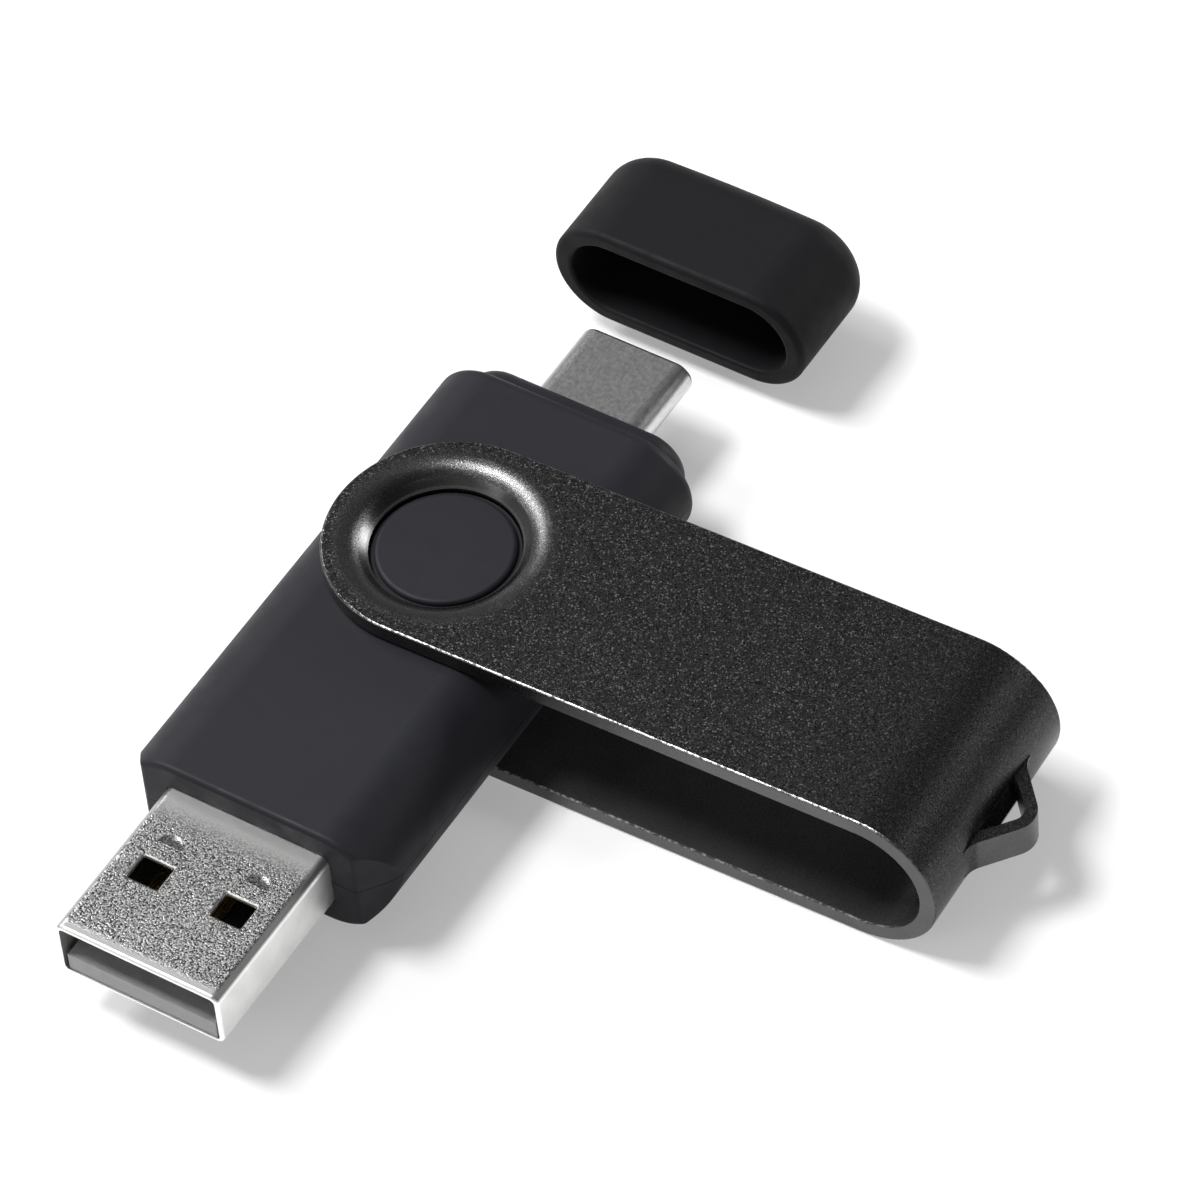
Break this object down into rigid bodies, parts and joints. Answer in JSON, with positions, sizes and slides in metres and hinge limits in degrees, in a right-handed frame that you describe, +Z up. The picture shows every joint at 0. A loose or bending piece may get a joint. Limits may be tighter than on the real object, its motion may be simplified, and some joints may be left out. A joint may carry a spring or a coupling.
{
  "type": "usb flash drive",
  "caption": "Two-ended flash drive: rounded body with a USB-A plug and a USB-C plug, a bent metal cover that swivels around it, and a pull-off cap.",
  "frame": {"origin": "centre of the whole model's footprint, on the surface that the cover's lower plate lies on", "axes": "+Z up through the swivel's direction; +Y from the USB-A mouth towards the USB-C plug; +X the way the cover is swung out at rest"},
  "size_m": [0.0512, 0.072, 0.0109],
  "materials": {
    "body_plastic": "soft-touch matte, dark blue-grey",
    "cap_plastic": "soft-touch matte, near black",
    "cover_metal": "dark gunmetal, fine metallic sparkle, satin bevelled edges",
    "usb_a_nickel": "nickel-plated, fine grain",
    "usb_c_nickel": "satin nickel, fine scratches",
    "insulator_plastic": "moulded, dark grey",
    "black_plastic": "moulded, black",
    "contact_gold": "thin gold plating",
    "spring_steel": "bright stamped steel",
    "board_green": "solder mask",
    "chip_epoxy": "moulded epoxy",
    "crystal_can": "satin can",
    "capacitor_body": "glazed ceramic"
  },
  "bodies": {
    "drive": {"body_upper_shell": "body_plastic", "body_lower_shell": "body_plastic", "usb_a_shell": "usb_a_nickel", "usb_a_insulator": "insulator_plastic", "usb_a_contact_power": "contact_gold", "usb_a_contact_data_minus": "contact_gold", "usb_a_contact_data_plus": "contact_gold", "usb_a_contact_ground": "contact_gold", "usb_c_shell": "usb_c_nickel", "usb_c_insulator": "black_plastic", "usb_c_contacts_upper": "contact_gold", "usb_c_contacts_lower": "contact_gold", "usb_c_latch": "spring_steel", "usb_c_ground_spring_upper": "spring_steel", "usb_c_ground_spring_lower": "spring_steel", "circuit_board": "board_green", "flash_memory": "chip_epoxy", "controller": "chip_epoxy", "crystal": "crystal_can", "voltage_regulator": "chip_epoxy", "capacitors": "capacitor_body", "resistors": "chip_epoxy"},
    "cover": {"swivel_cover": "cover_metal"},
    "cap": {"usb_c_cap": "cap_plastic"}
  },
  "joints": [
    {"name": "cover_swivel", "type": "hinge", "parent": "drive", "child": "cover", "pos_m": [-0.01608, -0.00063, 0.00547], "axis": [0, 0, 1], "continuous": true},
    {"name": "cap_pull", "type": "slide", "parent": "drive", "child": "cap", "axis": [0, 1, 0], "range_m": [-0.01295, 0]}
  ]
}
